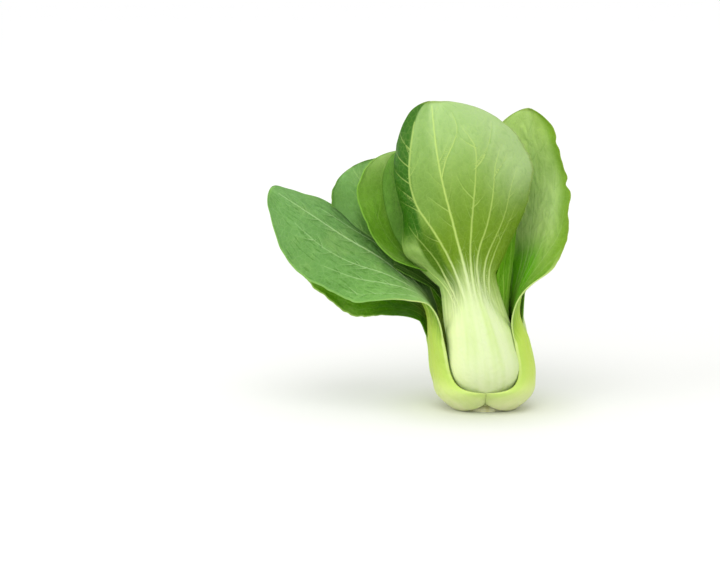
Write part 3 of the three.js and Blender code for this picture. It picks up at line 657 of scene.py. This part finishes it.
def largest(mesh):
    """mesh with only its largest connected piece."""
    work = bmesh.new()
    work.from_mesh(mesh)
    loose, pieces = set(work.verts), []
    while loose:
        piece, edge = set(), [next(iter(loose))]
        while edge:
            here = edge.pop()
            if here not in piece:
                piece.add(here)
                edge.extend(link.other_vert(here) for link in here.link_edges)
        loose -= piece
        pieces.append(piece)
    keep = max(pieces, key=len)
    bmesh.ops.delete(work, geom=[vertex for vertex in work.verts if vertex not in keep], context="VERTS")
    work.to_mesh(mesh)
    work.free()
    return mesh


FIELDS = ("along", "across", "main", "main_power", "side", "side_power", "away", "under")


def write_fields(mesh, points, data):
    """Gives every vertex the values of the nearest vertex of the leaf before it was pressed."""
    tree = KDTree(len(points))
    for index, point in enumerate(points.tolist()):
        tree.insert(point, index)
    tree.balance()
    nearest = [tree.find(vertex.co)[1] for vertex in mesh.vertices]
    for k, field in enumerate(FIELDS):
        layer = mesh.attributes.new(field, "FLOAT", "POINT")
        layer.data.foreach_set("value", np.ascontiguousarray(data[nearest, k], dtype=np.float32))


def srgb(red, green, blue):
    """A colour given as on screen, 0 to 255, in linear light."""
    def linear(value):
        value /= 255
        return value / 12.92 if value <= 0.04045 else ((value + 0.055) / 1.055) ** 2.4

    return (linear(red), linear(green), linear(blue), 1.0)


UNDER_OFFSET = 3.0  # sets the streaks of the outer face apart from those of the inner one


class Nodes:
    """Short calls for building a material's nodes."""

    def __init__(self, name):
        self.material = bpy.data.materials.new(name)
        self.material.use_nodes = True
        self.tree = self.material.node_tree
        self.shader = self.tree.nodes["Principled BSDF"]

    def new(self, kind, **settings):
        node = self.tree.nodes.new(kind)
        for key, value in settings.items():
            setattr(node, key, value)
        return node

    def link(self, source, target):
        self.tree.links.new(source, target)

    def put(self, value, target):
        if isinstance(value, bpy.types.NodeSocket):
            self.link(value, target)
        else:
            target.default_value = value

    def field(self, name):
        return self.new("ShaderNodeAttribute", attribute_name=name).outputs["Fac"]

    def math(self, operation, a, b=0.0, clamp=False):
        node = self.new("ShaderNodeMath", operation=operation, use_clamp=clamp)
        self.put(a, node.inputs[0])
        self.put(b, node.inputs[1])
        return node.outputs[0]

    def times(self, first, *others, clamp=False):
        for other in others:
            first = self.math("MULTIPLY", first, other, clamp)
        return first

    def plus(self, a, b, clamp=False):
        return self.math("ADD", a, b, clamp)

    def minus(self, a, b):
        return self.math("SUBTRACT", a, b)

    def step(self, value, start, end, low=0.0, high=1.0):
        node = self.new("ShaderNodeMapRange", interpolation_type="SMOOTHSTEP")
        self.put(value, node.inputs["Value"])
        for name, number in (("From Min", start), ("From Max", end), ("To Min", low), ("To Max", high)):
            node.inputs[name].default_value = number
        return node.outputs["Result"]

    def mix(self, factor, a, b, blend="MIX"):
        node = self.new("ShaderNodeMix", data_type="RGBA", blend_type=blend)
        self.put(factor, node.inputs["Factor"])
        self.put(a, node.inputs["A"])
        self.put(b, node.inputs["B"])
        return node.outputs["Result"]

    def ramp(self, value, stops):
        node = self.new("ShaderNodeValToRGB")
        node.color_ramp.interpolation = "B_SPLINE"
        while len(node.color_ramp.elements) < len(stops):
            node.color_ramp.elements.new(0.5)
        for element, (place, *color) in zip(node.color_ramp.elements, stops):
            element.position, element.color = place, srgb(*color)
        self.put(value, node.inputs["Fac"])
        return node.outputs["Color"]

    def place(self, scale):
        node = self.new("ShaderNodeMapping")
        node.inputs["Scale"].default_value = scale
        self.link(self.new("ShaderNodeTexCoord").outputs["Object"], node.inputs["Vector"])
        return node.outputs["Vector"]

    def strand_place(self, along, across):
        """Coordinates that follow the leaf, for streaks along it."""
        node = self.new("ShaderNodeCombineXYZ")
        self.link(self.times(self.field("across"), across), node.inputs["X"])
        self.link(self.times(self.field("along"), along), node.inputs["Y"])
        self.link(self.times(self.field("under"), UNDER_OFFSET), node.inputs["Z"])
        return node.outputs["Vector"]

    def noise(self, vector, scale, detail=3.0):
        node = self.new("ShaderNodeTexNoise")
        self.link(vector, node.inputs["Vector"])
        node.inputs["Scale"].default_value = scale
        node.inputs["Detail"].default_value = detail
        return node.outputs["Fac"]

    def cells(self, vector, scale):
        node = self.new("ShaderNodeTexVoronoi", feature="DISTANCE_TO_EDGE")
        self.link(vector, node.inputs["Vector"])
        node.inputs["Scale"].default_value = scale
        return node.outputs["Distance"]

    def bump(self, height, distance):
        node = self.new("ShaderNodeBump")
        node.inputs["Strength"].default_value = 0.5
        node.inputs["Distance"].default_value = distance
        self.link(height, node.inputs["Height"])
        self.link(node.outputs["Normal"], self.shader.inputs["Normal"])


FRONT_STALK = [(0.0, 212, 218, 176), (0.1, 206, 216, 166), (0.25, 212, 224, 178), (0.5, 206, 221, 164)]
UNDER_VEIN = srgb(192, 216, 116)
UPPER_VEIN = srgb(176, 208, 122)
BLADE_RIM = srgb(160, 192, 100)
PALE_PATCH = srgb(190, 212, 130)
STALK_GREEN = srgb(176, 208, 92)
# The pale colour of the painted light on the front stalk's left side.
STALK_PAINTED_LIGHT = srgb(230, 243, 172)
# The colour of the painted highlight along the side stalks' margins.
STALK_RIM_HIGHLIGHT = srgb(214, 232, 150)
PATCH_SHADE = (0.62, 0.72, 0.5, 1)  # what the blade's colour is multiplied by in a dark patch, and as painted shade in a hollow
HOLLOW_SHADE = (0.54, 0.66, 0.44, 1)

# How fine the patterns are that don't follow the leaf, in repeats a metre.
WOBBLE, PATCHES, NET, MARGIN_GRAIN, GLOSS_GRAIN, DENTS, DENT_CELLS = 300.0, 60.0, 330.0, 120.0, 240.0, 170.0, 150.0
BUMP = 0.0005
SKIN = {
    "IOR": 1.38,
    "Specular IOR Level": 0.25,
    "Subsurface Weight": 0.2,
    "Subsurface Radius": (0.8, 1.0, 0.35),
    "Subsurface Scale": 0.004,
}


def leaf_material(name, upper, under, stalk=FRONT_STALK, tints=(), quilt_and_shade=0.4, upper_vein=UPPER_VEIN,
                  rim=BLADE_RIM, vein_power=1.0, stalk_rim_highlight=0.0, side_reach=0.3, inner_stalk_shade=None, painted_left_light=0.0):
    """The skin of one leaf.

    upper, under and stalk are colour stops along the leaf, each (place from 0 at the base to 1 at the tip, red,
    green, blue): of the blade's inner face, its outer face and the stalk. Each of tints is a patch of colour on the
    blade, most of them painted light and painted shade: (side, start and end across, start and end along, strength,
    colour). quilt says how deep the hollows look, through dents and painted shade, stalk_rim_highlight how strong the
    painted highlight on the stalk's margins is, painted_left_light how strong the painted light on the stalk's left
    side is, side_reach how much lower the green starts at the sides, and inner_stalk_shade which colour the stalk's
    inner face has, a dark green that is painted shade.
    """
    n = Nodes(name)
    here, along, across, outside = n.place((1, 1, 1)), n.field("along"), n.field("across"), n.field("under")
    aside = n.math("ABSOLUTE", across)
    place = n.times(along, 0.5)

    # Veins: full on their lines, gone at a distance that is greater where they are strong.
    wobble = n.times(n.minus(n.noise(here, WOBBLE, 2.0), 0.5), 0.5)

    def lines(kind, wide, narrow):
        power = n.field(kind + "_power")
        distance = n.math("ABSOLUTE", n.plus(n.field(kind), wobble))
        share = n.math("DIVIDE", distance, n.plus(n.times(power, wide), narrow))
        return n.times(n.step(share, 0.15, 1.0, 1, 0), power)

    main, side = lines("main", 0.95, 0.25), lines("side", 0.6, 0.2)
    veins = n.math("MAXIMUM", main, side)

    # The stalk: greener in streaks and towards its sides, and paler on its left side as painted light.
    stalk_color = n.ramp(place, stalk)
    bands = n.noise(n.strand_place(1.0, 4.0), 1.0, 1.0)
    streaks = n.noise(n.strand_place(2.4, 20.0), 1.0, 2.0)
    for value, start, end, strength, color in (
        (bands, 0.4, 0.75, 0.4, STALK_GREEN),
        (streaks, 0.45, 0.75, 0.1, STALK_GREEN),
        (across, 0.3, 1.0, 0.4, STALK_GREEN),
        (across, -0.4, -1.0, 0.3, STALK_GREEN),
        (across, -0.15, -0.7, painted_left_light, STALK_PAINTED_LIGHT),
    ):
        stalk_color = n.mix(n.step(value, start, end, 0, strength), stalk_color, color)
    # Painted shade: the stalk's inner face turns dark green towards the neck, where it lies in shade.
    if inner_stalk_shade:
        inner = n.times(n.minus(1.0, outside), n.step(along, 0.3, 0.6, 0, 0.9))
        stalk_color = n.mix(inner, stalk_color, inner_stalk_shade)

    # The blade: mottled, and with painted shade in the hollows between its veins and in the folds beside the side
    # veins.
    blade_color = n.mix(outside, n.ramp(place, upper), n.ramp(place, under))
    patches = n.noise(here, PATCHES, 4.0)
    dark, pale = n.mix(1.0, blade_color, PATCH_SHADE, "MULTIPLY"), n.mix(0.22, blade_color, PALE_PATCH)
    mottled = n.minus(1.0, n.times(outside, 0.5))
    blade_color = n.mix(n.times(n.step(patches, 0.5, 0.75, 0, 0.34), mottled), blade_color, dark)
    blade_color = n.mix(n.times(n.step(patches, 0.5, 0.25, 0, 0.5), mottled), blade_color, pale)
    for sign, sides, rows, strength, color in tints:
        patch = n.times(n.step(n.times(across, sign), *sides, 0, strength), n.step(along, *rows))
        blade_color = n.mix(patch, blade_color, color)
    # Painted shade: the blade darkens away from its veins, beside the side veins and in streaky hollows.
    hollow_shade_color = n.mix(1.0, blade_color, HOLLOW_SHADE, "MULTIPLY")
    beside, power = n.field("side"), n.field("side_power")
    crease_shade = n.times(n.step(beside, 0.1, 2.2, 1, 0), n.step(beside, -0.3, 0.1), n.step(power, 0.0, 0.3))
    crease_shade = n.times(crease_shade, quilt_and_shade * 0.8, clamp=True)
    hollows = n.noise(n.strand_place(14.0, 22.0), 1.0, 2.0)
    for strength in (n.step(n.field("away"), 0.1, 1.0, 0.0, 0.2), crease_shade, n.step(hollows, 0.56, 0.68, 0, 0.7 * quilt_and_shade)):
        blade_color = n.mix(strength, blade_color, hollow_shade_color)

    # Over it the fine net of veins, the veins themselves and the margin.
    net = n.cells(here, NET)
    vein = n.mix(outside, upper_vein, UNDER_VEIN)
    strength = n.plus(n.times(outside, 0.34 * vein_power), 0.56 * vein_power)
    blade_color = n.mix(n.times(n.step(net, 0.0, 0.1, 1, 0), 0.06), blade_color, vein)
    blade_color = n.mix(n.times(veins, strength, clamp=True), blade_color, vein)
    margin = n.step(n.plus(aside, n.times(n.noise(here, MARGIN_GRAIN, 2.0), 0.02)), 0.98, 1.005)
    margin = n.math("MAXIMUM", margin, n.step(along, 1.984, 1.994))
    blade_color = n.mix(n.times(margin, n.step(along, 1.15, 1.3, 0, 0.6)), blade_color, rim)

    # The green of the blade runs down into the stalk at the sides, and the stalk's pale colour up along the veins.
    reach = n.plus(along, n.times(aside, side_reach))
    reach = n.plus(reach, n.times(n.minus(streaks, 0.5), 0.22))
    reach = n.minus(reach, n.times(main, 0.14))
    color = n.mix(n.step(reach, 0.92, 1.24), stalk_color, blade_color)
    # A painted highlight along the stalk's margins, fading out above the neck.
    rim_highlight_mask = n.times(n.step(aside, 0.93, 0.98), n.step(along, 0.3, 0.6), n.step(along, 1.1, 1.35, stalk_rim_highlight, 0))
    n.link(n.mix(rim_highlight_mask, color, STALK_RIM_HIGHLIGHT), n.shader.inputs["Base Color"])

    rough = n.plus(n.step(n.noise(here, GLOSS_GRAIN, 3.0), 0.3, 0.7, 0.0, 0.1), 0.5)
    if inner_stalk_shade:
        rough = n.plus(rough, n.times(inner, 0.5), clamp=True)
    n.link(rough, n.shader.inputs["Roughness"])
    for socket, value in SKIN.items():
        n.shader.inputs[socket].default_value = value

    # Veins stand up on the outer face and lie sunk on the inner one.
    height = n.times(veins, n.minus(n.times(outside, 2.0), 1.0))
    for layer, weight in (
        (n.step(net, 0.0, 0.3), 0.25),
        (streaks, 0.25),
        (n.noise(here, DENTS, 3.0), 2.2 * quilt_and_shade),
        (n.step(n.cells(here, DENT_CELLS), 0.0, 0.3, 1, 0), -0.8 * quilt_and_shade),
    ):
        height = n.plus(height, n.times(layer, weight))
    n.bump(height, BUMP)
    return n.material


SIDE_STALK = [(0.0, 230, 231, 188), (0.08, 216, 225, 162), (0.2, 186, 209, 84), (0.5, 168, 198, 62)]

# What single leaves ask of leaf_material.
LOOKS = {
    "leaf_front": dict(
        upper=[(0.5, 104, 150, 46), (0.75, 96, 144, 44), (1.0, 116, 158, 66)],
        # The outer face turns pale and greyish towards the tip: a painted sheen.
        under=[(0.5, 112, 144, 30), (0.6, 100, 134, 14), (0.72, 106, 140, 30), (0.84, 136, 168, 84),
               (0.95, 156, 186, 120)],
        # The stalk's left side is made paler: painted light.
        side_reach=0.16, painted_left_light=0.55,
        # Painted shade on the left half, in a wedge low on the left and on the strip past the fold; a paler lower-left
        # lobe; a painted sheen on the right half; a painted highlight along the left margin.
        tints=[(-1, (0.0, 0.25), (1.3, 1.5), 0.5, srgb(108, 146, 64)),
               (-1, (0.3, 0.38), (1.46, 1.32), 0.85, srgb(66, 104, 4)),
               (-1, (0.6, 0.67), (1.42, 1.28), 0.85, srgb(148, 180, 96)),
               (-1, (0.46, 0.54), (1.3, 1.42), 0.97, srgb(44, 96, 4)),
               (1, (0.3, 0.9), (1.3, 1.6), 0.75, srgb(164, 188, 132)),
               (-1, (0.95, 0.965), (1.2, 1.4), 0.6, srgb(140, 186, 90))],
        rim=srgb(118, 140, 56),
    ),
    "leaf_left": dict(
        stalk=SIDE_STALK,
        upper=[(0.5, 176, 212, 134), (0.6, 118, 166, 84), (0.8, 92, 137, 66), (1.0, 114, 158, 92)],
        # The stalk's inner face is dark green: painted shade.
        inner_stalk_shade=srgb(74, 122, 8),
        rim=srgb(126, 170, 88),
        under=[(0.5, 106, 152, 30), (1.0, 112, 158, 44)],
        # Deep dents with dark painted shade in the hollows, and a painted highlight on the stalk's margins.
        quilt_and_shade=1.0, upper_vein=srgb(190, 222, 156), vein_power=1.5, stalk_rim_highlight=0.6,
        # Painted shade on the lower far half of the blade.
        tints=[(-1, (0.0, 0.4), (1.7, 1.4), 0.75, srgb(60, 108, 12))],
    ),
    "leaf_right": dict(
        stalk=SIDE_STALK,
        upper=[(0.5, 84, 138, 10), (0.58, 98, 148, 22), (0.68, 146, 176, 84), (0.8, 176, 205, 134),
               (1.0, 140, 172, 66)],
        under=[(0.5, 120, 160, 40), (1.0, 140, 180, 70)],
        # Painted light where the blade lies in shade beside leaf_front: paler above and a bright saturated green
        # below; painted shade along the upper margin of the other half, where it curls.
        tints=[(1, (-0.55, 0.1), (1.2, 1.45), 0.8, srgb(180, 210, 124)),
               (1, (-0.66, -0.1), (1.44, 1.22), 0.95, srgb(100, 178, 0)),
               (-1, (0.56, 0.92), (1.1, 1.4), 0.82, srgb(102, 142, 12))],
        # A painted highlight on the stalk's margins, and dark green painted shade on the stalk's inner face.
        rim=srgb(116, 140, 44), stalk_rim_highlight=0.6, inner_stalk_shade=srgb(84, 142, 0),
    ),
    "leaf_under": dict(
        stalk=SIDE_STALK,
        upper=[(0.5, 66, 118, 0), (1.0, 92, 146, 16)],
        under=[(0.5, 96, 142, 24), (1.0, 96, 144, 26)],
        vein_power=0.3,
    ),
    "leaf_inner_right": dict(
        stalk=[(0.0, 206, 216, 166), (0.3, 160, 194, 96), (0.5, 104, 156, 20)],
        upper=[(0.5, 84, 140, 4), (1.0, 92, 142, 24)],
        under=[(0.5, 92, 150, 4), (0.8, 92, 146, 20), (1.0, 110, 154, 50)],
        vein_power=0.25,
    ),
    "leaf_back_left": dict(
        upper=[(0.5, 66, 108, 10), (0.75, 94, 140, 60), (1.0, 112, 156, 88)],
        under=[(0.5, 106, 152, 36), (1.0, 126, 168, 66)],
        rim=srgb(110, 146, 60),
    ),
    "leaf_inner_left": dict(
        upper=[(0.5, 62, 106, 2), (0.75, 94, 144, 22), (0.9, 116, 160, 54), (1.0, 156, 186, 110)],
        under=[(0.5, 80, 130, 22), (1.0, 92, 142, 40)],
        rim=srgb(112, 160, 52),
        # Painted light and shade at a fold: a lighter part of the blade, and a dark line along its edge.
        tints=[(-1, (-0.47, -0.455), (1.2, 1.3), 0.9, srgb(150, 208, 92)),
               (-1, (-0.485, -0.47), (1.2, 1.3), 0.5, srgb(52, 100, 4))],
        vein_power=0.6,
    ),
}
PLAIN_LOOK = dict(
    upper=[(0.5, 96, 144, 46), (0.8, 98, 144, 50), (1.0, 114, 158, 70)],
    under=[(0.5, 126, 166, 64), (0.7, 116, 156, 54), (1.0, 140, 176, 88)],
)
HEART_LOOK = dict(
    upper=[(0.5, 156, 188, 88), (1.0, 140, 180, 76)],
    under=[(0.5, 164, 196, 96), (1.0, 150, 188, 84)],
)
BUTT_BUMP = 0.0004


def butt_material():
    """The pale cut stem, with a darker tone in places and brownish spots."""
    n = Nodes("stem_cut")
    ring = n.noise(n.place((1, 1, 0.3)), 330.0, 4.0)
    color = n.mix(n.step(ring, 0.35, 0.7), srgb(232, 232, 196), srgb(206, 204, 146))
    spots = n.noise(n.place((1, 1, 1)), 90.0, 5.0)
    color = n.mix(n.step(spots, 0.55, 0.75, 0, 0.6), color, srgb(186, 168, 108))
    n.link(color, n.shader.inputs["Base Color"])
    n.shader.inputs["Roughness"].default_value = 0.6
    n.bump(ring, BUTT_BUMP)
    return n.material


STEM_RADIUS = 12
STEM_GROWTH = 1.02
SHARP_FROM = math.radians(55)
FIRST_SEED = 11


def as_cutter(name, points, faces):
    mesh = closed(name + "_cutter", points, faces)
    return {"mesh": mesh, "tree": tree_of(mesh)}


def build_leaves():
    """Builds the leaves from the outside in, each pressed by the stem and by the leaves before it."""
    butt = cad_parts["stem_butt"]
    points = np.array([vertex.co for vertex in butt.data.vertices]) / MM
    points[:, :2] *= 1 + GAP / STEM_RADIUS
    points[:, 2] *= STEM_GROWTH
    cutters = [as_cutter("butt", points, [list(face.vertices) for face in butt.data.polygons])]
    for index, facts in enumerate(LEAVES):
        leaf = Leaf(**facts)
        points, faces, data = leaf_mesh(leaf, FIRST_SEED + index)
        mesh = pressed(closed(leaf.name + "_looks", points, faces), cutters)
        write_fields(mesh, points, data)
        mesh.transform(Matrix.Scale(MM, 4))
        mesh.shade_smooth()
        mesh.set_sharp_from_angle(angle=SHARP_FROM)
        piece = placed(leaf.name + "_looks", mesh)
        heart = leaf.name.startswith("heart")
        look = LOOKS.get(leaf.name, HEART_LOOK if heart else PLAIN_LOOK)
        mesh.materials.clear()
        mesh.materials.append(leaf_material(leaf.name + "_skin", **look))
        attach(piece, "root")
        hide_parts(leaf.name)
        cutters.append(as_cutter(leaf.name, *plain_mesh(leaf, GAP)))
    butt.data.materials.clear()
    butt.data.materials.append(butt_material())


build_leaves()


# The floor, the light and the camera.
FLOOR_HALF = 6.0
FLOOR_SHADOW_AND_COLORS = (0.7, 0.71, 0.64, 1), (0.8, 0.8, 0.785, 1), (0.97, 0.97, 0.97, 1)  # at the head a painted contact shadow, near it, far off
PAINTED_SHADOW_REACH, FLOOR_FAR = (0.02, 0.07), (0.1, 1.2)  # the distances where the painted shadow turns to the second colour, and so on


def floor():
    n = Nodes("floor_paper")
    spot = n.new("ShaderNodeVectorMath", operation="LENGTH")
    n.link(n.place((1, 1, 1)), spot.inputs[0])
    distance = spot.outputs["Value"]
    # Painted contact shadow: the floor is darker right at the head.
    color = n.mix(n.step(distance, *PAINTED_SHADOW_REACH), *FLOOR_SHADOW_AND_COLORS[:2])
    n.link(n.mix(n.step(distance, *FLOOR_FAR), color, FLOOR_SHADOW_AND_COLORS[2]), n.shader.inputs["Base Color"])
    n.shader.inputs["Roughness"].default_value = 0.75
    n.shader.inputs["Specular IOR Level"].default_value = 0.1
    mesh = bpy.data.meshes.new("floor")
    corners = [(x * FLOOR_HALF, y * FLOOR_HALF, 0) for x, y in ((-1, -1), (1, -1), (1, 1), (-1, 1))]
    mesh.from_pydata(corners, [], [(0, 1, 2, 3)])
    mesh.materials.append(n.material)
    placed("floor", mesh)


LIT_POINT = (0, 0, 0.08)
LIGHTS = [("key", (-0.1, -0.75, 1.2), 0.9, 6.2), ("fill", (-0.9, -0.5, 0.7), 0.8, 3)]  # name, place, size, power
SKY_STRENGTH = 1.03


def area_light(name, place, size, power):
    data = bpy.data.lights.new(name, "AREA")
    data.shape, data.size, data.energy = "DISK", size, power
    placed(name, data, place, Vector(LIT_POINT) - Vector(place))


PHOTO_WIDTH, PHOTO_HEIGHT = 720, 586
MM_PER_PIXEL = 0.55
BASE_PIXEL = (484, 407)  # where the centre of the cut base lies in the photograph
CAMERA_ELEVATION = math.radians(10)
CAMERA_DISTANCE = 1.3
SENSOR = 36.0


def camera():
    data = bpy.data.cameras.new("camera")
    data.sensor_width = SENSOR
    data.lens = SENSOR * CAMERA_DISTANCE / (PHOTO_WIDTH * MM_PER_PIXEL * MM)
    ahead = Vector((0, math.cos(CAMERA_ELEVATION), -math.sin(CAMERA_ELEVATION)))
    upward = Vector((0, math.sin(CAMERA_ELEVATION), math.cos(CAMERA_ELEVATION)))
    right = Vector((1, 0, 0))
    scale = MM_PER_PIXEL * MM
    aside, above = PHOTO_WIDTH / 2 - BASE_PIXEL[0], BASE_PIXEL[1] - PHOTO_HEIGHT / 2
    aim = right * aside * scale + upward * above * scale
    bpy.context.scene.camera = placed("camera", data, aim - ahead * CAMERA_DISTANCE, ahead)


def sky():
    world = bpy.data.worlds.new("studio")
    world.use_nodes = True
    background = world.node_tree.nodes["Background"]
    background.inputs["Color"].default_value = (1, 1, 1, 1)
    background.inputs["Strength"].default_value = SKY_STRENGTH
    bpy.context.scene.world = world


floor()
sky()
for light in LIGHTS:
    area_light(*light)
camera()
bpy.context.scene.view_settings.view_transform = "Standard"
